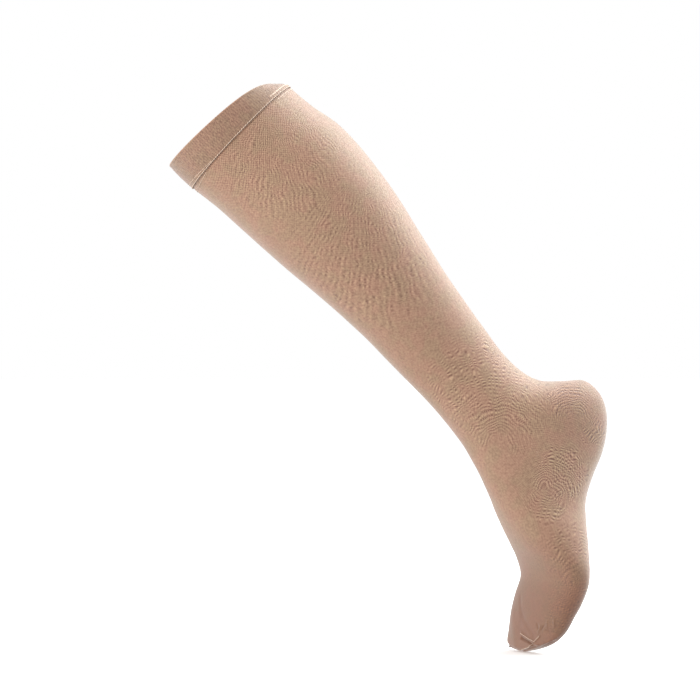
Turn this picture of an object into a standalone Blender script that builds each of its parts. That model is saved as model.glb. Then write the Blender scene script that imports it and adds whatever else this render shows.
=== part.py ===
"""A closed-toe compression stocking for the left leg, worn: knee bent, foot pointing down.

One named object for each knitted zone: the double welt band, the leg in three lengths,
the heel pocket, the foot and the toe cap. Metres, +Z up; the origin is the centre of
the top opening. The wearer faces -X, so the outer side of the leg faces -Y.
"""
import bpy
import bmesh
from math import cos, exp, floor, pi, radians, sin
from mathutils import Matrix, Vector

MM = 0.001
LEAN = radians(46.0)        # the shin's slant from upright
WALL = 1.0 * MM             # knitted fabric
BAND_WALL = 2.0 * MM        # the welt is folded double
BAND_STEP = 0.5 * MM        # the welt stands proud of the leg
SEAM_GAP = 0.3 * MM
COLUMNS = 40                # facets round the tube

# The welt: its height over the front, and how it sinks behind the bent knee
BAND_FRONT = 28.0 * MM
BAND_FALL = 9.0 * MM        # front to back, evenly
KNEE_DIP = 9.0 * MM         # further, in the hollow of the knee
KNEE_LEAN = 8.0 * MM        # leans in over the same stretch
KNEE_SPREAD = radians(45.0)

# Heel pocket: its two gore lines run from below the ankle bones round the back
HEEL_ROW = 15.4             # the row where the gore lines meet
HEEL_REACH = 2.7            # rows from there to a gore line, at the back
HEEL_SIDE = radians(75.0)   # where they meet, round from the shin
HEEL_END = radians(1.5)     # the pocket's pointed end stops this far short of that

# Rows down the limb, in the leg's own frame: x to the calf, z up the shin, in mm and degrees.
# "pitch" turns the row from across the shin to across the foot, "twist" turns the instep
# outwards, "square" is the outline's roundness (2 is an ellipse), "egg" narrows the front,
# "slant" carries the big-toe side further down, and "bow" the middle of the toes.
SECTION_COLUMNS = ("name", "x", "z", "pitch", "depth", "width", "twist", "square", "egg", "slant", "bow")
SECTION_ROWS = (
    ("seam", -0.3, -15, 0, 120, 103, 0, 2.1, 0.05, 0, 0),
    ("knee", 2, -40, 0, 119.5, 104, 0, 2.1, 0.06, 0, 0),
    ("calf", 4.6, -66, 0, 122.5, 107, 0, 2.1, 0.08, 0, 0),
    ("belly", 4.5, -92, 0, 121, 108, 0, 2.1, 0.09, 0, 0),
    ("underbelly", 3.5, -120, 0, 116, 104, 0, 2.1, 0.09, 0, 0),
    ("taper", 1.6, -150, 0, 108, 96, 0, 2.08, 0.08, 0, 0),
    ("shank", -1.4, -181, 0, 98.5, 87, 0, 2.05, 0.06, 0, 0),
    ("tendon", -5, -213, 0, 90, 78, 0, 2.03, 0.04, 0, 0),
    ("slim", -8.9, -245, 0, 83.8, 70, 0, 2, 0.02, 0, 0),
    ("above_ankle", -12.3, -277, 0, 78.8, 64, 1, 2, 0, 0, 0),
    ("ankle", -15.15, -300.5, 3, 75.75, 63, 3.25, 2, 0, 0, 0),
    ("ankle_bones", -16, -318.5, 10, 78, 65.5, 5.25, 2, 0, 0, 0),
    ("achilles", -14.25, -332, 14.5, 86, 66.75, 7, 2, 0, 0, 0),
    ("heel_top", -9, -346.75, 12.5, 101.75, 67, 9, 2, 0, 0, 0),
    ("heel", -4.05, -361.5, 11, 120.25, 66.5, 10.5, 2, 0, 0, 0),
    ("heel_back", -4.55, -374.75, 14.5, 127, 65.75, 11.75, 2.05, 0, 0, 0),
    ("heel_low", -11, -387.25, 20.5, 123.25, 65, 13.5, 2.1, 0, 0, 0),
    ("heel_sole", -22.75, -398.75, 27.5, 111, 65.5, 15.75, 2.1, 0, 0, 0),
    ("waist", -37.55, -408.8, 35, 92.5, 67, 19, 2.1, 0, 0, 0),
    ("arch", -49.25, -419, 40, 80, 69.75, 22, 2.1, 0, 0, 0),
    ("instep", -59, -433, 45, 70.5, 75.5, 25, 2.1, 0, 2, 0),
    ("forefoot", -68.75, -448.5, 50, 59.25, 79.25, 27, 2.15, 0, 3, 0),
    ("ball", -77.4, -461.6, 56, 47, 82.75, 30, 2.15, 0, 4, 0),
    ("toe_root", -86.75, -472, 59, 36.75, 81, 32, 2.2, 0, 5, 0),
    ("toes", -101, -478.85, 58, 33.25, 79.5, 34, 2.2, 0, 4.25, 0.75),
    ("toes_mid", -114.25, -484.6, 57, 28.5, 74.75, 36, 2.2, 0, 5, 1.5),
    ("toes_low", -127.75, -491.25, 56, 22.25, 68.25, 37, 2.2, 0, 6, 4),
    ("toes_end", -137.25, -494, 55, 13.75, 61, 37, 2.2, 0, 6, 6.75),
    ("tip", -141.5, -494.8, 55, 0, 48.25, 37, 2.2, 0, 6.75, 6.25),
)
SECTIONS = [dict(zip(SECTION_COLUMNS, row)) for row in SECTION_ROWS]
ROW = {section["name"]: index for index, section in enumerate(SECTIONS)}

# Zone colours: darker where the knit is denser
COLOURS = dict(band=(0.40, 0.27, 0.20), leg=(0.44, 0.30, 0.22), heel=(0.43, 0.29, 0.21), toe=(0.33, 0.22, 0.16))


def value(column, station):
    """A column of the table at a fractional row, on a Catmull-Rom curve."""
    last = len(SECTIONS) - 1
    row = min(max(int(floor(station)), 0), last - 1)
    t = station - row
    a, b, c, d = (SECTIONS[min(max(row + step, 0), last)][column] for step in (-1, 0, 1, 2))
    return b + 0.5 * t * (c - a + t * (2 * a - 5 * b + 4 * c - d + t * (3 * (b - c) + d - a)))


def leg_point(station, angle):
    """A point of the outer surface; angle 0 is the shin, 90 degrees the inner side of the leg."""
    pitch, twist = radians(value("pitch", station)), radians(value("twist", station))
    along = Vector((-sin(pitch), 0, -cos(pitch)))
    forward = Vector((-cos(pitch), 0, sin(pitch)))
    inward = Vector((0, 1, 0))
    front = forward * cos(twist) - inward * sin(twist)
    side = inward * cos(twist) + forward * sin(twist)
    square = value("square", station)
    reach = (abs(cos(angle)) ** square + abs(sin(angle)) ** square) ** (-1 / square)
    centre = Vector((value("x", station), 0, value("z", station)))
    ahead = value("depth", station) / 2 * cos(angle) * reach
    across = value("width", station) / 2 * sin(angle) * reach * (1 - value("egg", station) * cos(angle))
    down = value("slant", station) * sin(angle) + value("bow", station) * cos(angle) ** 2
    return (centre + front * ahead + side * across + along * down) * MM


def band_point(height, angle):
    """A point of the welt; height runs from 0 at its seam to 1 at the rim."""
    behind = exp(-((pi - abs(angle)) / KNEE_SPREAD) ** 2)
    rise = BAND_FRONT - BAND_FALL * (1 - cos(angle)) / 2 - KNEE_DIP * behind
    at_seam = leg_point(0, angle)
    outward = Vector((at_seam.x, at_seam.y, 0)).normalized()
    lean = Vector((-KNEE_LEAN * behind * height ** 2, 0, 0))
    return at_seam + outward * BAND_STEP + lean + Vector((0, 0, SEAM_GAP + rise * height))


def row_length(station, angle):
    """Metres of fabric in one row of the table, at a point."""
    return (leg_point(station + 0.05, angle) - leg_point(station - 0.05, angle)).length / 0.1


def beside(station, angle, side):
    """A station moved half a seam gap towards the top (-1) or the toe (+1)."""
    return station + side * SEAM_GAP / 2 / row_length(station, angle)


def gore(angle, side):
    """The station of a gore line: the upper one (-1) or the lower one (+1)."""
    from_shin = abs((angle + pi) % (2 * pi) - pi)
    behind = max(0.0, (from_shin - HEEL_SIDE) / (pi - HEEL_SIDE))
    return HEEL_ROW + side * HEEL_REACH * sin(behind * pi / 2)


def zone(name, columns, rows, surface, closed, wall, colour):
    """A knitted zone: a grid mapped onto the surface, thickened inwards."""
    mesh = bpy.data.meshes.new(name)
    bm = bmesh.new()
    bmesh.ops.create_grid(bm, x_segments=columns, y_segments=rows, size=0.5)
    for vert in bm.verts:
        vert.co = surface(vert.co.x + 0.5, vert.co.y + 0.5)
    if closed:
        bmesh.ops.remove_doubles(bm, verts=bm.verts, dist=0.00001)
    bmesh.ops.recalc_face_normals(bm, faces=bm.faces)
    bm.transform(Matrix.Rotation(-LEAN, 4, "Y"))
    bm.to_mesh(mesh)
    bm.free()
    mesh.shade_smooth()
    mesh.materials.append(knit(name, colour))
    thing = bpy.data.objects.new(name, mesh)
    stocking.objects.link(thing)
    solidify = thing.modifiers.new("Wall", "SOLIDIFY")
    solidify.thickness = wall
    solidify.offset = -1
    return thing


def knit(name, colour):
    """Matt knitted elastic fabric."""
    material = bpy.data.materials.new(name)
    material.use_nodes = True
    shader = material.node_tree.nodes["Principled BSDF"]
    shader.inputs["Base Color"].default_value = (*colour, 1)
    shader.inputs["Roughness"].default_value = 0.85
    shader.inputs["Metallic"].default_value = 0.0
    return material


def tube_surface(start, end):
    """Maps a unit grid onto the tube between two edges, each a station that depends on the angle."""
    def surface(u, v):
        angle = (u - 0.5) * 2 * pi
        first, last = start(angle), end(angle)
        return leg_point(first + (last - first) * v, angle)
    return surface


def at_row(name, side):
    """A level edge at a named row."""
    return lambda angle: beside(ROW[name], angle, side)


def top_band():
    def surface(u, v):
        return band_point(v, (u - 0.5) * 2 * pi)
    thing = zone("top_band", COLUMNS, 5, surface, True, BAND_WALL, COLOURS["band"])
    rim = thing.modifiers.new("Rolled edges", "BEVEL")
    rim.width = 0.6 * MM
    rim.segments = 2
    rim.limit_method = "ANGLE"
    rim.angle_limit = radians(60)


def leg():
    """One seamless tube, in three lengths: over the calf, down the shank and round the ankle."""
    calf = tube_surface(at_row("seam", 1), at_row("taper", -1))
    zone("leg_calf", COLUMNS, 8, calf, True, WALL, COLOURS["leg"])
    shank = tube_surface(at_row("taper", 1), at_row("slim", -1))
    zone("leg_shank", COLUMNS, 5, shank, True, WALL, COLOURS["leg"])
    ankle = tube_surface(at_row("slim", 1), lambda angle: beside(gore(angle, -1), angle, -1))
    zone("leg_ankle", COLUMNS, 9, ankle, True, WALL, COLOURS["leg"])


def heel():
    """The pocket between the gore lines; its columns are the tube's own, and two pointed ends."""
    step = 2 * pi / COLUMNS
    first_end = HEEL_SIDE + HEEL_END
    between = [k * step for k in range(COLUMNS) if first_end < k * step < 2 * pi - first_end]
    angles = [first_end] + between + [2 * pi - first_end]

    def surface(u, v):
        angle = angles[round(u * (len(angles) - 1))]
        first = beside(gore(angle, -1), angle, 1)
        last = beside(gore(angle, 1), angle, -1)
        return leg_point(first + (last - first) * v, angle)
    zone("heel", len(angles) - 1, 9, surface, False, WALL, COLOURS["heel"])


def foot():
    surface = tube_surface(lambda angle: beside(gore(angle, 1), angle, 1), at_row("toes", -1))
    zone("foot", COLUMNS, 10, surface, True, WALL, COLOURS["leg"])


def toe():
    """Closed by its seam: the last row is folded flat and its two sides meet."""
    def surface(u, v):
        angle = (u - 0.5) * 2 * pi
        first = beside(ROW["toes"], angle, 1)
        closing = sin(v * pi / 2)
        return leg_point(first + (ROW["tip"] - first) * closing, angle)
    zone("toe", COLUMNS, 9, surface, True, WALL, COLOURS["toe"])


for old in list(bpy.data.objects):
    bpy.data.objects.remove(old, do_unlink=True)
stocking = bpy.data.collections.new("compression_stocking")
bpy.context.scene.collection.children.link(stocking)
top_band()
leg()
heel()
foot()
toe()
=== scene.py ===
from functools import lru_cache
from math import cos, exp, floor, pi, radians, sin, tau
import bpy
import bmesh
import numpy as np
from mathutils import Euler, Matrix, Vector, noise


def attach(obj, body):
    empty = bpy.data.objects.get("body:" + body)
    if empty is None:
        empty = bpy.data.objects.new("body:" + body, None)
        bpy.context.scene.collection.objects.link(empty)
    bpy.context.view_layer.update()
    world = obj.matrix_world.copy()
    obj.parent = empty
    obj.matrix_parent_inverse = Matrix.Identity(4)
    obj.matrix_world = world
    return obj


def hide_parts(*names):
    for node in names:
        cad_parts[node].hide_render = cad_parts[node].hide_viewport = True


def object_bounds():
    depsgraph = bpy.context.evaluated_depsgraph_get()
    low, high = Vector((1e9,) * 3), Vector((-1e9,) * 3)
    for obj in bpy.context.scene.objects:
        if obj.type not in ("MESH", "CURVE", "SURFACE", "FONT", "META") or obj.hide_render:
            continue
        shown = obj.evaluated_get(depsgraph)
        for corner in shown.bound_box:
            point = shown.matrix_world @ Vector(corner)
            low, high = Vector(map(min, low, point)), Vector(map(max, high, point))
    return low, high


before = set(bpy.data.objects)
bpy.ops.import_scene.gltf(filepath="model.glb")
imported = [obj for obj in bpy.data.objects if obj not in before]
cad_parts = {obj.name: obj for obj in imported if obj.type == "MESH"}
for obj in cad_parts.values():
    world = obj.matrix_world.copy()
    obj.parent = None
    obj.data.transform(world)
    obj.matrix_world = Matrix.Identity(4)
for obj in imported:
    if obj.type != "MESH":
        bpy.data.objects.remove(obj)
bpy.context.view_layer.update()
print("frame loaded")

mm = 0.001
leaning = Matrix.Rotation(-radians(46), 4, "Y")   # from the leg's own frame to the row frame

# The limb row by row in the leg's own frame, x to the calf and z up the shin, in mm and degrees
legColumns = ("name", "x", "z", "pitch", "depth", "width", "twist", "square", "egg", "slant", "bow")
legRows = (
    ("seam", -0.3, -15, 0, 120, 103, 0, 2.1, 0.05, 0, 0),
    ("knee", 2, -40, 0, 119.5, 104, 0, 2.1, 0.06, 0, 0),
    ("calf", 4.6, -66, 0, 122.5, 107, 0, 2.1, 0.08, 0, 0),
    ("belly", 4.5, -92, 0, 121, 108, 0, 2.1, 0.09, 0, 0),
    ("underbelly", 3.5, -120, 0, 116, 104, 0, 2.1, 0.09, 0, 0),
    ("taper", 1.6, -150, 0, 108, 96, 0, 2.08, 0.08, 0, 0),
    ("shank", -1.4, -181, 0, 98.5, 87, 0, 2.05, 0.06, 0, 0),
    ("tendon", -5, -213, 0, 90, 78, 0, 2.03, 0.04, 0, 0),
    ("slim", -8.9, -245, 0, 83.8, 70, 0, 2, 0.02, 0, 0),
    ("aboveAnkle", -12.3, -277, 0, 78.8, 64, 1, 2, 0, 0, 0),
    ("ankle", -15.15, -300.5, 3, 75.75, 63, 3.25, 2, 0, 0, 0),
    ("ankleBones", -16, -318.5, 10, 78, 65.5, 5.25, 2, 0, 0, 0),
    ("achilles", -14.25, -332, 14.5, 86, 66.75, 7, 2, 0, 0, 0),
    ("heelTop", -9, -346.75, 12.5, 101.75, 67, 9, 2, 0, 0, 0),
    ("heel", -4.05, -361.5, 11, 120.25, 66.5, 10.5, 2, 0, 0, 0),
    ("heelBack", -4.55, -374.75, 14.5, 127, 65.75, 11.75, 2.05, 0, 0, 0),
    ("heelLow", -11, -387.25, 20.5, 123.25, 65, 13.5, 2.1, 0, 0, 0),
    ("heelSole", -22.75, -398.75, 27.5, 111, 65.5, 15.75, 2.1, 0, 0, 0),
    ("waist", -37.55, -408.8, 35, 92.5, 67, 19, 2.1, 0, 0, 0),
    ("arch", -49.25, -419, 40, 80, 69.75, 22, 2.1, 0, 0, 0),
    ("instep", -59, -433, 45, 70.5, 75.5, 25, 2.1, 0, 2, 0),
    ("forefoot", -68.75, -448.5, 50, 59.25, 79.25, 27, 2.15, 0, 3, 0),
    ("ball", -77.4, -461.6, 56, 47, 82.75, 30, 2.15, 0, 4, 0),
    ("toeRoot", -86.75, -472, 59, 36.75, 81, 32, 2.2, 0, 5, 0),
    ("toes", -101, -478.85, 58, 33.25, 79.5, 34, 2.2, 0, 4.25, 0.75),
    ("toesMid", -114.25, -484.6, 57, 28.5, 74.75, 36, 2.2, 0, 5, 1.5),
    ("toesLow", -127.75, -491.25, 56, 22.25, 68.25, 37, 2.2, 0, 6, 4),
    ("toesEnd", -137.25, -494, 55, 13.75, 61, 37, 2.2, 0, 6, 6.75),
    ("tip", -141.5, -494.8, 55, 0, 48.25, 37, 2.2, 0, 6.75, 6.25),
)
rowOf = {row[0]: index for index, row in enumerate(legRows)}
lastRow = len(legRows) - 1


@lru_cache(maxsize=None)
def sectionAt(station):
    # the table at a fractional row, on a Catmull-Rom curve
    row = min(max(floor(station), 0), lastRow - 1)
    t = station - row
    around = [legRows[min(max(row + step, 0), lastRow)] for step in (-1, 0, 1, 2)]
    found = {}
    for column in range(1, len(legColumns)):
        a, b, c, d = (one[column] for one in around)
        bend = 2 * a - 5 * b + 4 * c - d + t * (3 * (b - c) + d - a)
        found[legColumns[column]] = b + 0.5 * t * (c - a + t * bend)
    return found


def legPoint(station, angle):
    # outer face of the cloth; angle 0 is the shin and a quarter turn the inner side of the leg
    at = sectionAt(round(station, 5))
    pitch, twist = radians(at["pitch"]), radians(at["twist"])
    along = Vector((-sin(pitch), 0, -cos(pitch)))
    forward = Vector((-cos(pitch), 0, sin(pitch)))
    inward = Vector((0, 1, 0))
    front = forward * cos(twist) - inward * sin(twist)
    side = inward * cos(twist) + forward * sin(twist)
    reach = (abs(cos(angle)) ** at["square"] + abs(sin(angle)) ** at["square"]) ** (-1 / at["square"])
    ahead = at["depth"] / 2 * cos(angle) * reach
    across = at["width"] / 2 * sin(angle) * reach * (1 - at["egg"] * cos(angle))
    down = at["slant"] * sin(angle) + at["bow"] * cos(angle) ** 2
    return (Vector((at["x"], 0, at["z"])) + front * ahead + side * across + along * down) * mm


def legNormal(station, angle):
    station = min(station, lastRow - 0.3)   # the folded end has no depth to turn round
    down = legPoint(station + 0.02, angle) - legPoint(station - 0.02, angle)
    onward = legPoint(station, angle + 0.02) - legPoint(station, angle - 0.02)
    return onward.cross(down).normalized()


# Mean length of cloth from the seam down to each tenth of a row
stationSteps = [k / 10 for k in range(lastRow * 10 + 1)]
clothLength = [0.0]
for before, after in zip(stationSteps, stationSteps[1:]):
    steps = [(legPoint(after, tau * k / 8) - legPoint(before, tau * k / 8)).length for k in range(8)]
    clothLength.append(clothLength[-1] + sum(steps) / 8)


def lengthTo(station):
    return float(np.interp(station, stationSteps, clothLength))


def stationAt(length):
    return float(np.interp(length, clothLength, stationSteps))


# Soft relief of the worn cloth, in mm
relief = dict(uneven=0.35, unevenSize=34, seamGroove=0.55, seamGrooveAt=0.9, seamGrooveWidth=0.5,
              pucker=0.22, puckers=37, puckerFade=7)


creases = []
creaseRows = 4   # a crease is felt this many rows beyond its ends at most


def crease(lift, width, *path):
    # a soft ridge, or a trough when lift is negative, in mm along places given by row and degrees
    line = [legPoint(station, radians(degrees)) / mm for station, degrees in path]
    stations = [station for station, degrees in path]
    creases.append((lift, width, line, min(stations) - creaseRows, max(stations) + creaseRows))


def distanceTo(place, a, b):
    along = b - a
    share = min(max((place - a).dot(along) / along.length_squared, 0), 1)
    return (place - a - along * share).length


# Toe end: the hollow beside the big toe, the swell of the toe, the tuck under the seam and its gathers
crease(-0.35, 2.2, (24.2, 28), (24.95, 20), (25.4, 8), (25.85, -6), (26.15, -14))
crease(-0.3, 5.0, (25.1, 16), (25.75, 18), (26.1, 4))
crease(0.5, 5.0, (25.1, 44), (26.0, 33), (26.9, 24))
crease(0.8, 0.8, (26.0, 13), (26.15, 4), (26.55, -20), (26.2, -27))
crease(-1.7, 0.9, (26.3, 10), (26.5, -5), (26.8, -17))
crease(0.7, 0.8, (27.6, 22), (27.0, -9), (26.7, -17), (26.9, -29))
crease(-0.8, 1.0, (27.6, 6), (27.2, -9), (27.1, -24))
crease(-0.7, 1.5, (27.2, 62), (27.7, 44), (27.85, 20))
crease(-0.5, 0.8, (25.5, -17), (25.75, -21))
crease(0.4, 0.8, (25.6, -24), (25.95, -22))
crease(-0.55, 0.9, (25.6, -30), (25.8, -27))
crease(0.4, 0.8, (25.35, -34), (25.75, -37))
crease(-0.45, 0.9, (25.85, -36), (25.95, -43))
crease(0.5, 0.9, (25.25, -46), (25.7, -51))
# the same end seen from the outer side
crease(-0.7, 2.6, (24.8, 96), (25.6, 120), (26.3, 150))
crease(0.4, 1.0, (25.9, 140), (26.5, 152), (27.1, 160))
crease(0.9, 8.0, (13.2, 168), (13.9, 180), (13.9, -170), (13.4, -152))   # the heel bone under the tendon
# Heel gore: a faint diagonal tuck on each side of the ankle
for side in (1, -1):
    crease(-0.3, 1.0, (14.1, 59 * side), (15.05, 61 * side), (15.75, 64 * side), (16.3, 70 * side))
    crease(0.2, 2.4, (13.6, 68 * side), (14.9, 71 * side), (16.2, 74 * side))


@lru_cache(maxsize=None)
def creaseAt(station, angle):
    place = legPoint(station, angle) / mm
    lift = 0.0
    for height, width, line, low, high in creases:
        if low < station < high:
            away = min(distanceTo(place, a, b) for a, b in zip(line, line[1:]))
            lift += height * exp(-(away / width) ** 2)
    return lift


def reliefAt(station, angle):
    length = lengthTo(station) / mm
    place = legPoint(station, angle) / mm
    lift = relief["uneven"] * noise.noise(place / relief["unevenSize"]) * min(1, length / 12)
    lift += creaseAt(station, angle)
    lift -= relief["seamGroove"] * exp(-((length - relief["seamGrooveAt"]) / relief["seamGrooveWidth"]) ** 2)
    wave = sin(relief["puckers"] * angle + 1.7 * sin(3 * angle)) * (0.6 + 0.4 * sin(5 * angle + 1))
    lift += relief["pucker"] * wave * exp(-length / relief["puckerFade"]) * min(1, length / 1.5)
    return lift


def clothPoint(station, angle, lift=0.0):
    place = legPoint(station, angle) + legNormal(station, angle) * (reliefAt(station, angle) + lift) * mm
    return leaning @ place


# Materials

def addNode(tree, kind, *given, **settings):
    # given values fill the open inputs in order: a socket is linked, a number or colour is set, None is left
    node = tree.nodes.new("ShaderNode" + kind)
    for key, setting in settings.items():
        setattr(node, key, setting)
    for socket, one in zip([socket for socket in node.inputs if socket.enabled], given):
        if isinstance(one, bpy.types.NodeSocket):
            tree.links.new(one, socket)
        elif one is not None:
            socket.default_value = one
    return next(socket for socket in node.outputs if socket.enabled)


def calc(tree, operation, *given):
    return addNode(tree, "Math", *given, operation=operation)


def vectorCalc(tree, operation, *given):
    return addNode(tree, "VectorMath", *given, operation=operation)


def ramp(tree, value, low, high, atLow=0.0, atHigh=1.0):
    # a soft step between two values
    return addNode(tree, "MapRange", value, low, high, atLow, atHigh, interpolation_type="SMOOTHSTEP")


def fabric(name, colour, sheen=0.42):
    material = bpy.data.materials.new(name)
    material.use_nodes = True
    tree = material.node_tree
    shader = tree.nodes["Principled BSDF"]
    shader.inputs["Base Color"].default_value = (*colour, 1)
    shader.inputs["Roughness"].default_value = 0.7
    shader.inputs["Specular IOR Level"].default_value = 1.0
    shader.inputs["Sheen Weight"].default_value = sheen
    shader.inputs["Sheen Roughness"].default_value = 0.5
    shader.inputs["Sheen Tint"].default_value = (1, 1, 1, 1)
    return material, tree, shader


# Where the stretched rows of the knit gather into a visible figure: fans and rings in the side plane.
# The centre's x and z and the ring spacing in mm, the spokes in a turn, which of the two leads and how
# far the other crosses it, and the patch that it shows in: x, z and reach in mm, and strength
figureColumns = ("x", "z", "spacing", "spokes", "lead", "cross", "patchX", "patchZ", "reach", "strength")
figureRows = (
    (37.9, 34.7, 2.7, 165, "spokes", 0.45, 49, -33, 62, 1.15),
    (116, -15.8, 3.5, 150, "spokes", 0.45, 116, -113, 82, 0.95),
    (230, -274, 2.9, 90, "rings", 0.5, 222, -229, 66, 1.6),
    (293, -254, 2.5, 44, "rings", 0.5, 291, -236, 24, 2.4),
    (269, -318, 2.6, 64, "rings", 0.6, 281, -299, 30, 3.6),
    (272, -303, 2.8, 46, "rings", 0.5, 270, -322, 21, 2.2),
    (299, -388, 3.2, 44, "rings", 0.5, 296, -366, 34, 1.3),
    (262, -372, 2.4, 76, "rings", 0.7, 290, -408, 33, 1.3),
    (263, -211, 2.8, 90, "rings", 0.5, 313, -262, 16, 2.2),
)
knitFigures = [dict(zip(figureColumns, row)) for row in figureRows]


# How the colour of the cloth is scaled for the dark and the light of its yarn, each in two hues, and towards
# one darker tint where the knit is dense and for the painted shade in folds and under the seam
yarnTints = dict(dark=((0.47, 0.31, 0.20), (0.53, 0.29, 0.21)),
                 light=((1.47, 1.71, 1.72), (1.57, 1.66, 1.79)))
deepTint = (0.52, 0.31, 0.13)
heelMiddle = (0.312, 0, -0.235)   # the pocket's dense knit is darkest here, in metres


def tinted(colour, tint):
    return (*(one * share for one, share in zip(colour, tint)), 1)


def knitPattern(tree, turn):
    # brightness of the knit round 0, the same on both sides of the leg
    place = tree.nodes.new("ShaderNodeTexCoord").outputs["Object"]
    wander = addNode(tree, "TexNoise", place, 70.0, 1.0).node.outputs["Color"]
    wander = vectorCalc(tree, "SCALE", vectorCalc(tree, "SUBTRACT", wander, (0.5, 0.5, 0.5)), 0.012)
    flat = vectorCalc(tree, "MULTIPLY", vectorCalc(tree, "ADD", place, wander), (1, 0, 1))
    total = None
    for one in knitFigures:
        centre = Vector((one["x"], 0, one["z"])) * mm
        patch = Vector((one["patchX"], 0, one["patchZ"])) * mm
        away = vectorCalc(tree, "SUBTRACT", flat, centre)
        out = vectorCalc(tree, "LENGTH", away)
        ringWave = calc(tree, "SINE", calc(tree, "MULTIPLY", out, tau / one["spacing"] / mm))
        parts = tree.nodes.new("ShaderNodeSeparateXYZ")
        tree.links.new(away, parts.inputs[0])
        turned = calc(tree, "ARCTAN2", parts.outputs["X"], parts.outputs["Z"])
        spokeWave = calc(tree, "SINE", calc(tree, "MULTIPLY", turned, float(one["spokes"])))
        lead, other = (ringWave, spokeWave) if one["lead"] == "rings" else (spokeWave, ringWave)
        crossed = calc(tree, "MULTIPLY_ADD", other, one["cross"], 1 - one["cross"])
        broken = calc(tree, "MULTIPLY", lead, crossed)
        broken = calc(tree, "MULTIPLY", broken, ramp(tree, out, 4 * mm, 14 * mm, 0.15, 1.0))
        inPatch = ramp(tree, vectorCalc(tree, "DISTANCE", flat, patch), one["reach"] * 0.5 * mm,
                       one["reach"] * mm, one["strength"], 0.0)
        figure = calc(tree, "MULTIPLY", broken, inPatch)
        total = figure if total is None else calc(tree, "ADD", total, figure)
    patchy = ramp(tree, addNode(tree, "TexNoise", place, 130.0, 1.0), 0.35, 0.7, 0.3, 1.15)
    sideways = calc(tree, "ABSOLUTE", calc(tree, "SINE", calc(tree, "MULTIPLY", turn, tau)))
    patchy = calc(tree, "MULTIPLY", patchy, ramp(tree, sideways, 0.3, 0.65))   # none down the front and back
    grain = calc(tree, "SUBTRACT", addNode(tree, "TexNoise", place, 520.0, 2.0), 0.5)
    return calc(tree, "ADD", calc(tree, "MULTIPLY", total, patchy), calc(tree, "MULTIPLY", grain, 2.2))


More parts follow.
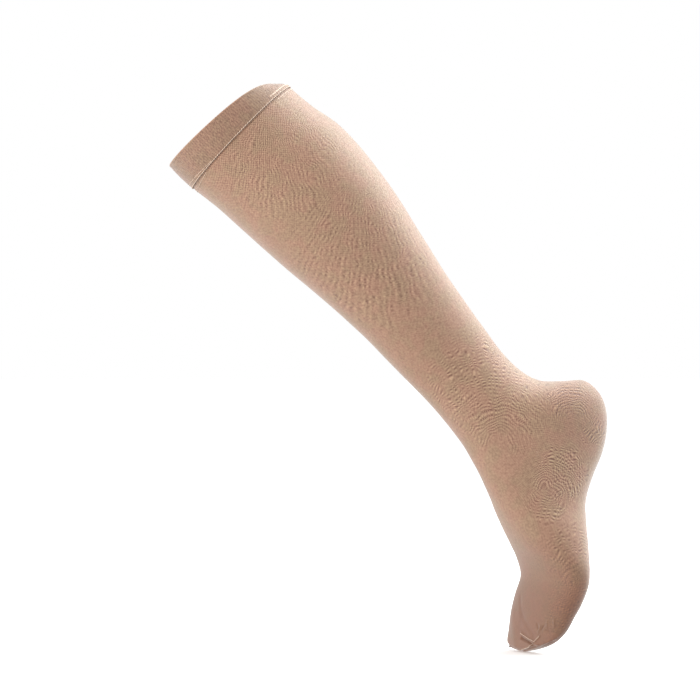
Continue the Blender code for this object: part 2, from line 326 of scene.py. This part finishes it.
def knit(name, colour, depth, wales, rows, figured=True):
    # knitted cloth: rows and wales in light and dark with a little relief, and a colour that changes slowly
    material, tree, shader = fabric(name, colour)
    uv = addNode(tree, "UVMap", uv_map="Knit")
    split = tree.nodes.new("ShaderNodeSeparateXYZ")
    tree.links.new(uv, split.inputs[0])
    turn, length = split.outputs["X"], split.outputs["Y"]
    place = tree.nodes.new("ShaderNodeTexCoord").outputs["Object"]
    sway = calc(tree, "SUBTRACT", addNode(tree, "TexNoise", place, 110.0, 1.0), 0.5)
    sway = calc(tree, "MULTIPLY", sway, 6.0)
    wale = calc(tree, "SINE", calc(tree, "MULTIPLY_ADD", turn, tau * wales, sway))
    course = calc(tree, "SINE", calc(tree, "MULTIPLY_ADD", length, tau / rows / mm, sway))
    if figured:
        lattice = calc(tree, "MULTIPLY", calc(tree, "MULTIPLY", wale, course),
                       ramp(tree, length, 0.01, 0.07, 1.1, 0.4))
        pattern = calc(tree, "ADD", lattice, knitPattern(tree, turn))
        fromToeTop = calc(tree, "ABSOLUTE", calc(tree, "SUBTRACT", turn, 0.53))
        overToes = ramp(tree, fromToeTop, 0.07, 0.17, 0.6, 0.1)   # the knit lies smooth on the toes' top
        overToes = calc(tree, "MULTIPLY", overToes, ramp(tree, length, 0.44, 0.53))
        pattern = calc(tree, "MULTIPLY", pattern, calc(tree, "SUBTRACT", 1.0, overToes))
        # needle holes in a dotted line just under the seam, darkened also as painted shadow beneath the
        # seam's ridge
        needles = calc(tree, "SINE", calc(tree, "MULTIPLY", turn, tau * 156.0))
        needles = calc(tree, "MULTIPLY_ADD", needles, 0.4, 0.6)
        fromSeam = calc(tree, "ABSOLUTE", calc(tree, "SUBTRACT", length, 1.0 * mm))
        holesAndSeamShadow = calc(tree, "MULTIPLY", needles, ramp(tree, fromSeam, 0.2 * mm, 0.7 * mm, 1.0, 0.0))
        # painted shade in the troughs of folds and creases, darkest where the cloth lies deepest
        foldShade = ramp(tree, addNode(tree, "Attribute", attribute_name="Fold").node.outputs["Fac"], 0.0, 1.3)
        fromHeel = vectorCalc(tree, "DISTANCE", vectorCalc(tree, "MULTIPLY", place, (1, 0, 1)), heelMiddle)
        denser = calc(tree, "ADD", ramp(tree, fromHeel, 0.022, 0.06, 0.4, 0.0),
                      ramp(tree, length, 0.44, 0.53, 0.0, 0.88))
        # the colour darkens towards the deep tint where the heel and toe knit is denser, which is its own
        # tone, and with the painted shade under the seam and in the folds
        deep = calc(tree, "ADD", calc(tree, "ADD", holesAndSeamShadow, foldShade), denser)
        shade = addNode(tree, "Mix", deep, (1, 1, 1, 1), tinted((1, 1, 1), deepTint), data_type="RGBA")
    else:
        lattice = calc(tree, "MULTIPLY_ADD", calc(tree, "MULTIPLY", wale, course), 0.9,
                       calc(tree, "MULTIPLY", wale, 0.3))
        grain = calc(tree, "SUBTRACT", addNode(tree, "TexNoise", place, 480.0, 2.0), 0.5)
        pattern = calc(tree, "MULTIPLY_ADD", grain, 3.0, lattice)
        # a painted highlight: the colour is lighter along the welt's rolled rim
        fromRim = calc(tree, "ABSOLUTE", calc(tree, "SUBTRACT", length, 31 * mm))
        shade = vectorCalc(tree, "SCALE", (1, 1, 1), ramp(tree, fromRim, 0.5 * mm, 3.5 * mm, 1.5, 1.0))
    # light and dark of the yarn, each with a slight change of hue over the cloth
    mottle = ramp(tree, addNode(tree, "TexNoise", place, 70.0, 2.0), 0.35, 0.65)
    dark, light = (addNode(tree, "Mix", mottle, *(tinted(colour, tint) for tint in yarnTints[yarn]),
                           data_type="RGBA") for yarn in ("dark", "light"))
    level = calc(tree, "MULTIPLY_ADD", pattern, depth, 0.5)
    tone = addNode(tree, "Mix", level, dark, light, data_type="RGBA")
    tree.links.new(vectorCalc(tree, "MULTIPLY", tone, shade), shader.inputs["Base Color"])
    tree.links.new(addNode(tree, "Bump", 0.3, 0.0003, None, pattern), shader.inputs["Normal"])
    return material


# Knitted pieces

def rolledGrid(name, columns, rows, surface, texture, material, depth=None):
    # a grid mapped on the surface and closed where its edges meet; texture gives each corner's UV
    # and depth how far a place lies down in a fold
    mesh = bpy.data.meshes.new(name)
    bm = bmesh.new()
    bmesh.ops.create_grid(bm, x_segments=columns, y_segments=rows, size=0.5)
    uvLayer = bm.loops.layers.uv.new("Knit")
    for face in bm.faces:
        for loop in face.loops:
            loop[uvLayer].uv = texture(loop.vert.co.x + 0.5, loop.vert.co.y + 0.5)
    # how far down in a fold each place lies; the knit material turns this into painted shade
    fold = bm.verts.layers.float.new("Fold")
    for vert in bm.verts:
        u, v = vert.co.x + 0.5, vert.co.y + 0.5
        vert[fold] = depth(u, v) if depth else 0.0
        vert.co = surface(u, v)
    bmesh.ops.remove_doubles(bm, verts=bm.verts, dist=0.00001)
    bmesh.ops.recalc_face_normals(bm, faces=bm.faces)
    for face in bm.faces:
        face.smooth = True
    for edge in bm.edges:
        edge.smooth = not edge.is_boundary   # a cut edge stays crisp
    bm.to_mesh(mesh)
    bm.free()
    mesh.materials.append(material)
    thing = bpy.data.objects.new(name, mesh)
    bpy.context.scene.collection.objects.link(thing)
    return thing


def wall(thing, thickness):
    solidify = thing.modifiers.new("Wall", "SOLIDIFY")
    solidify.thickness = thickness
    solidify.offset = -1


tube = dict(columns=160, toeColumns=360, rows=236, fineRows=12, fineLength=4.5 * mm, toeRows=90,
            wall=1.0 * mm, gap=0.3 * mm)
toeStart = lengthTo(rowOf["toes"])
clothEnd = clothLength[-1]


def tubeLength(v):
    # short rows under the seam, even rows below
    share = tube["fineRows"] / tube["rows"]
    if v < share:
        return tube["gap"] + (tube["fineLength"] - tube["gap"]) * v / share
    return tube["fineLength"] + (toeStart - tube["fineLength"]) * (v - share) / (1 - share)


def toeLength(v):
    return toeStart + (clothEnd - toeStart) * sin(v * pi / 2)


legColour = (0.266, 0.145, 0.082)
bandColour = (0.217, 0.113, 0.062)
legMaterial = knit("leg_knit", legColour, depth=0.4, wales=160, rows=2.1)
toeMaterial = knit("toe_knit", legColour, depth=0.4, wales=160, rows=2.1)
bandMaterial = knit("band_knit", bandColour, depth=0.38, wales=160, rows=2.0, figured=False)
threadMaterial = fabric("sewing_thread", (0.55, 0.40, 0.30))[0]

legTube = rolledGrid("leg_and_foot_knit", tube["columns"], tube["rows"],
                     lambda u, v: clothPoint(stationAt(tubeLength(v)), (u - 0.5) * tau),
                     lambda u, v: (u, tubeLength(v)), legMaterial,
                     lambda u, v: max(0, -creaseAt(stationAt(tubeLength(v)), (u - 0.5) * tau)))
wall(legTube, tube["wall"])
toeCap = rolledGrid("toe_cap_knit", tube["toeColumns"], tube["toeRows"],
                    lambda u, v: clothPoint(stationAt(toeLength(v)), (u - 0.5) * tau),
                    lambda u, v: (u, toeLength(v)), toeMaterial,
                    lambda u, v: max(0, -creaseAt(stationAt(toeLength(v)), (u - 0.5) * tau)))
wall(toeCap, tube["wall"])
print("leg tube and toe cap knitted")

# The welt: folded double, sewn on round its lower edge
welt = dict(front=28, fall=9, dip=9, lean=8, spread=45, step=0.5, gap=0.3, thick=2.0, bulge=0.45,
            rimSwell=0.12, rimLine=0.22, rimLineAt=3.0, rimLineWidth=0.7,
            columns=240, outer=18, roll=8, inner=8, hem=4, round=60)


def weltPlace(angle, height, depth):
    # height from 0 at the seam to 1 at the rim, depth in mm in from the outer face
    angle = (angle + pi) % tau - pi
    behind = exp(-((pi - abs(angle)) / radians(welt["spread"])) ** 2)
    rise = welt["front"] - welt["fall"] * (1 - cos(angle)) / 2 - welt["dip"] * behind
    atSeam = legPoint(0, angle)
    outward = Vector((atSeam.x, atSeam.y, 0)).normalized()
    shift = Vector((-welt["lean"] * behind * height ** 2, 0, welt["gap"] + rise * height))
    return atSeam + (outward * (welt["step"] - depth) + shift) * mm


def weltRise(angle):
    return (weltPlace(angle, 1, 0).z - weltPlace(angle, 0, 0).z) / mm


def weltProfile(t):
    # once round the folded cloth: which part of the fold a place is on, and its share of that part
    steps = [welt["outer"], welt["roll"], welt["inner"], welt["hem"]]
    total = sum(steps)
    done = t * total
    if done <= steps[0]:
        return "face", done / steps[0]
    done -= steps[0]
    if done <= steps[1]:
        return "rim", done / steps[1]
    done -= steps[1]
    if done <= steps[2]:
        return "lining", done / steps[2]
    return "hem", (done - steps[2]) / steps[3]


def weltSurface(u, v):
    angle = (u - 0.5) * tau
    part, share = weltProfile(v % 1.0)
    rise = weltRise(angle)
    radius = welt["thick"] / 2
    bottom, top = radius * 0.6, rise - radius
    if part == "face":
        up = bottom + (top - bottom) * share
        fromLine = (rise - up - welt["rimLineAt"]) / welt["rimLineWidth"]
        swell = welt["bulge"] * sin(pi * min(1, share * 1.04)) - welt["rimLine"] * exp(-fromLine ** 2)
        depth = -swell
    elif part == "rim":
        up = top + radius * sin(share * pi)
        depth = radius - (radius + welt["rimSwell"] * sin(share * pi)) * cos(share * pi)
    elif part == "lining":
        up = top + (bottom - top) * share
        depth = welt["thick"]
    else:
        up = bottom - 0.6 * radius * sin(share * pi)
        depth = radius + radius * cos(share * pi)
    return leaning @ weltPlace(angle, up / rise, depth)


def weltTexture(u, v):
    return (u, v * welt["round"] * mm)


weltRows = welt["outer"] + welt["roll"] + welt["inner"] + welt["hem"]
weltPiece = rolledGrid("top_band_welt", welt["columns"], weltRows, weltSurface, weltTexture, bandMaterial)
print("welt folded")

# Stitches

def evenPath(place, start, end, step):
    # places at equal distances along a line, each with its direction and the way out of the cloth
    shares = [k / 1500 for k in range(1501)]
    points = [place(start + (end - start) * share)[0] for share in shares]
    run = [0.0]
    for a, b in zip(points, points[1:]):
        run.append(run[-1] + (b - a).length)
    count = max(1, round(run[-1] / step))
    found = []
    for k in range(count):
        share = float(np.interp(run[-1] * (k + 0.5) / count, run, shares))
        spot, outward = place(start + (end - start) * share)
        ahead = place(start + (end - start) * min(1, share + 0.002))[0]
        behind = place(start + (end - start) * max(0, share - 0.002))[0]
        found.append((spot, (ahead - behind).normalized(), outward))
    return found


def stitchRow(name, path, length, width, height, tilt, material, sink=0.2):
    # one small padded oval for each stitch
    mesh = bpy.data.meshes.new(name)
    bm = bmesh.new()
    for spot, ahead, outward in path:
        across = outward.cross(ahead).normalized()
        axes = Matrix((ahead, across, outward)).transposed().to_4x4()
        turn = Matrix.Rotation(radians(tilt), 4, "Z")
        size = Matrix.Diagonal((length / 2, width / 2, height / 2, 1))
        spot = spot + outward * (height * (0.5 - sink))
        oval = Matrix.Translation(spot) @ axes @ turn @ size @ Matrix.Rotation(pi / 2, 4, "Y")
        bmesh.ops.create_uvsphere(bm, u_segments=8, v_segments=6, radius=1, matrix=oval)
    bmesh.ops.recalc_face_normals(bm, faces=bm.faces)
    bm.to_mesh(mesh)
    bm.free()
    mesh.shade_smooth()
    mesh.materials.append(material)
    thing = bpy.data.objects.new(name, mesh)
    bpy.context.scene.collection.objects.link(thing)
    return thing


def onWelt(height, depth=0.0):
    # a line round the welt at a height in mm over its seam
    def place(angle):
        up = height(angle) if callable(height) else height
        spot = weltPlace(angle, up / weltRise(angle), depth)
        outward = Vector((spot.x, spot.y, 0)).normalized()
        return leaning @ spot, (leaning.to_3x3() @ outward)
    return place


def onCloth(length):
    # a line round the leg at a length in mm under the seam
    def place(angle):
        down = length(angle) if callable(length) else length
        station = stationAt(down * mm)
        return clothPoint(station, angle), leaning.to_3x3() @ legNormal(station, angle)
    return place


def acrossCloth(*path):
    # a line over the cloth through places given by row and degrees
    stations = [station for station, degrees in path]
    turns = [radians(degrees) for station, degrees in path]

    def place(share):
        at = share * (len(path) - 1)
        station = float(np.interp(at, range(len(path)), stations))
        angle = float(np.interp(at, range(len(path)), turns))
        return clothPoint(station, angle), leaning.to_3x3() @ legNormal(station, angle)
    return place


def fade(angle, reach):
    # 1 over the shin and 0 from the reach on, in degrees
    away = abs((angle + pi) % tau - pi) / radians(reach)
    return max(0, 1 - away ** 2)


seam = dict(pitch=2.3 * mm, length=2.5 * mm, width=0.75 * mm, height=0.6 * mm, tilt=14)
seamRow = stitchRow("band_seam_stitches", evenPath(onWelt(0.45), -pi, pi, seam["pitch"]),
                    seam["length"], seam["width"], seam["height"], seam["tilt"], threadMaterial)

# Front joint: a second and a third thread that run into the seam from over and under it
frontStitch = dict(pitch=2.9 * mm, length=3.2 * mm, width=0.5 * mm, height=0.5 * mm, tilt=4)
frontOver = dict(start=radians(-58), end=radians(50), reach=62, least=0.7, rise=3.0)
frontUnder = dict(start=radians(-46), end=radians(42), reach=50, least=0.9, rise=3.6)


def frontHeight(joint):
    return lambda angle: joint["least"] + joint["rise"] * fade(angle, joint["reach"])


def frontRow(name, line, joint):
    path = evenPath(line(frontHeight(joint)), joint["start"], joint["end"], frontStitch["pitch"])
    return stitchRow(name, path, frontStitch["length"], frontStitch["width"], frontStitch["height"],
                     frontStitch["tilt"], threadMaterial)


frontUpper = frontRow("front_joint_upper_stitches", onWelt, frontOver)
frontLower = frontRow("front_joint_lower_stitches", onCloth, frontUnder)

# Back joint: where the ends of the welt lap, two heavy rows with rungs between them
backJoint = dict(start=radians(-131), end=radians(-212), pitch=2.9 * mm, above=3.3, rungs=1.3, below=2.3)


def backPath(line, before=0.0, past=0.0):
    return evenPath(line, backJoint["start"] - before, backJoint["end"] + past, backJoint["pitch"])


backUpper = stitchRow("back_joint_upper_stitches", backPath(onWelt(backJoint["above"])),
                      length=3.4 * mm, width=1.4 * mm, height=0.9 * mm, tilt=6, material=threadMaterial)
backLower = stitchRow("back_joint_lower_stitches", backPath(onCloth(backJoint["below"]), 0.08, 0.1),
                      length=3.2 * mm, width=0.9 * mm, height=0.6 * mm, tilt=6, material=threadMaterial)
rungs = [(spot, outward.cross(ahead), outward)
         for spot, ahead, outward in backPath(onWelt(backJoint["rungs"]), 0.05, 0.1)]
backRungs = stitchRow("back_joint_rungs", rungs, length=3.6 * mm, width=0.7 * mm, height=0.5 * mm,
                      tilt=10, material=threadMaterial, sink=0.35)

# Toe seam: a fine ridge over the toes that turns back on itself, and its tail
toeLines = (((26.0, 14), (26.15, 4), (26.55, -20)), ((26.55, -20), (26.2, -27)),
            ((27.3, 10), (27.0, -9), (26.7, -17)))
toeMarks = []
for line in toeLines:
    toeMarks += evenPath(acrossCloth(*line), 0, 1, 1.2 * mm)
toeSeam = stitchRow("toe_seam_stitches", toeMarks, length=1.5 * mm, width=0.42 * mm, height=0.35 * mm,
                    tilt=8, material=threadMaterial)

# Gore marks: a few narrowing stitches on each side of the ankle
goreMaterial = fabric("gore_thread", (0.33, 0.18, 0.11))[0]
goreLines = (((15.1, 73), (15.5, 71.5)), ((15.75, 74), (16.2, 72.5)), ((16.5, 76), (16.8, 75.2)))
goreMarks = []
for side in (1, -1):
    for line in goreLines:
        line = [(station, degrees * side) for station, degrees in line]
        goreMarks += evenPath(acrossCloth(*line), 0, 1, 3 * mm)
goreRow = stitchRow("gore_stitches", goreMarks, length=2.2 * mm, width=0.6 * mm, height=0.3 * mm,
                    tilt=5, material=goreMaterial, sink=0.4)
print("seams sewn")

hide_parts("top_band")
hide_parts("leg_calf", "leg_shank", "leg_ankle", "heel", "foot")
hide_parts("toe")
for piece in (weltPiece, legTube, toeCap, seamRow, frontUpper, frontLower, backUpper, backLower, backRungs,
              toeSeam, goreRow):
    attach(piece, "root")

# Floor, light and camera
floorPlane = bpy.data.meshes.new("floor")
bm = bmesh.new()
bmesh.ops.create_grid(bm, x_segments=1, y_segments=1, size=20)
bmesh.ops.translate(bm, verts=bm.verts, vec=(0, 0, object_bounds()[0].z - 0.0005))
bm.to_mesh(floorPlane)
bm.free()
floorThing = bpy.data.objects.new("floor", floorPlane)
bpy.context.scene.collection.objects.link(floorThing)
floorMaterial = bpy.data.materials.new("floor")
floorMaterial.use_nodes = True
floorShader = floorMaterial.node_tree.nodes["Principled BSDF"]
floorShader.inputs["Base Color"].default_value = (0.97, 0.97, 0.97, 1)
floorShader.inputs["Roughness"].default_value = 1.0
floorShader.inputs["Specular IOR Level"].default_value = 0.0
floorShader.inputs["Emission Color"].default_value = (1, 1, 1, 1)
floorShader.inputs["Emission Strength"].default_value = 0.15
floorPlane.materials.append(floorMaterial)
floorThing.visible_diffuse = False   # the floor throws no light back at the cloth
floorThing.visible_glossy = False

world = bpy.data.worlds.new("studio")
bpy.context.scene.world = world
world.use_nodes = True
background = world.node_tree.nodes.get("Background")
background.inputs["Color"].default_value = (1, 1, 1, 1)
background.inputs["Strength"].default_value = 1.0


def softBox(name, place, target, size, power, colour):
    light = bpy.data.lights.new(name, "AREA")
    light.shape = "RECTANGLE"
    light.size, light.size_y = size
    light.energy = power
    light.color = colour
    thing = bpy.data.objects.new(name, light)
    bpy.context.scene.collection.objects.link(thing)
    thing.location = place
    thing.rotation_euler = (Vector(target) - Vector(place)).to_track_quat("-Z", "Y").to_euler()
    thing.visible_camera = False
    return thing


# Each light box: its place, what it faces, its size, its power in watts and its colour
softBox("right_box", (1.65, 0.05, 0.9), (0.15, 0, -0.2), (1.2, 1.6), 18, (0.95, 1, 1))
softBox("top_box", (0.9, 0.1, 1.6), (0.15, 0, -0.2), (1.2, 1.6), 17, (0.95, 1, 1))
softBox("back_box", (1.2, 0.7, 1.3), (0.15, 0, -0.2), (1.2, 1.6), 36, (0.93, 1, 1))
softBox("low_right_box", (1.3, 1.0, -0.8), (0.25, 0, -0.35), (1.0, 1.4), 14, (0.95, 1, 1))
softBox("low_left_box", (-1.2, -0.9, -0.6), (0.15, 0, -0.2), (1.2, 1.6), 38, (1, 0.92, 0.8))
softBox("left_box", (-1.5, 0.6, -0.3), (0.1, 0, -0.2), (1.0, 1.6), 8, (1, 1, 1))

view = dict(place=(0.1036, -2.2, -0.1926), lens=131.6, sensor=36)
cameraData = bpy.data.cameras.new("camera")
cameraData.sensor_width = view["sensor"]
cameraData.lens = view["lens"]
camera = bpy.data.objects.new("camera", cameraData)
bpy.context.scene.collection.objects.link(camera)
camera.location = view["place"]
camera.rotation_euler = Euler((radians(90), 0, 0))
bpy.context.scene.camera = camera
bpy.context.scene.view_settings.view_transform = "Standard"
print("stage set")
